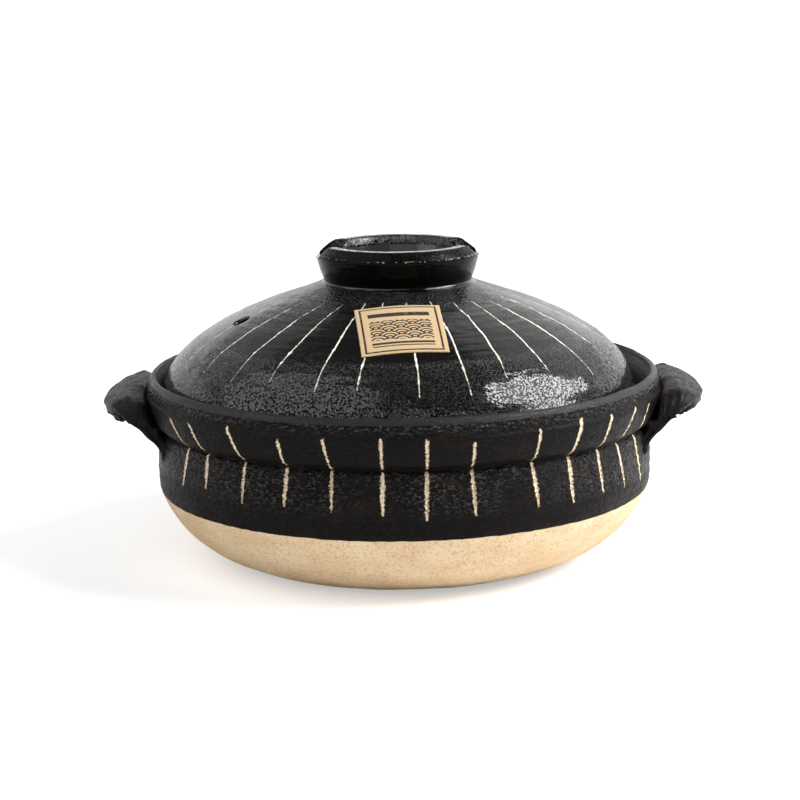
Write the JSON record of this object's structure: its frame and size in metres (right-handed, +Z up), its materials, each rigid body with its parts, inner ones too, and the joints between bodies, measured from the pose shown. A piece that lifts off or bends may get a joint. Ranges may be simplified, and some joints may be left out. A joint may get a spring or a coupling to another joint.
{
  "type": "clay cooking pot",
  "caption": "Round lidded clay pot with strap handles, an upper band over a rounded belly, and a domed lid with a notched ring knob and a steam hole.",
  "frame": {"origin": "on the table, under the middle of the pot", "axes": "+Z up, handles along X, front with the paper label towards -Y"},
  "size_m": [0.3078, 0.266, 0.1593],
  "materials": {
    "pot_glaze": "satin black glaze over cream clay, bare below the belly, with scored lines",
    "handle_glaze": "satin black glaze over rough clay",
    "lid_glaze": "black glaze, sandy towards the edge, with scored lines",
    "knob_glaze": "glossy black glaze",
    "label_paper": "matt kraft paper"
  },
  "bodies": {
    "pot": {"pot_body": "pot_glaze", "handle_left": "handle_glaze", "handle_right": "handle_glaze"},
    "lid": {"lid_dome": "lid_glaze", "lid_knob": "knob_glaze", "paper_label": "label_paper"}
  },
  "joints": [
    {"name": "lid_lift", "type": "slide", "parent": "pot", "child": "lid", "axis": [0, 0, 1], "range_m": [0, 0.12]}
  ]
}
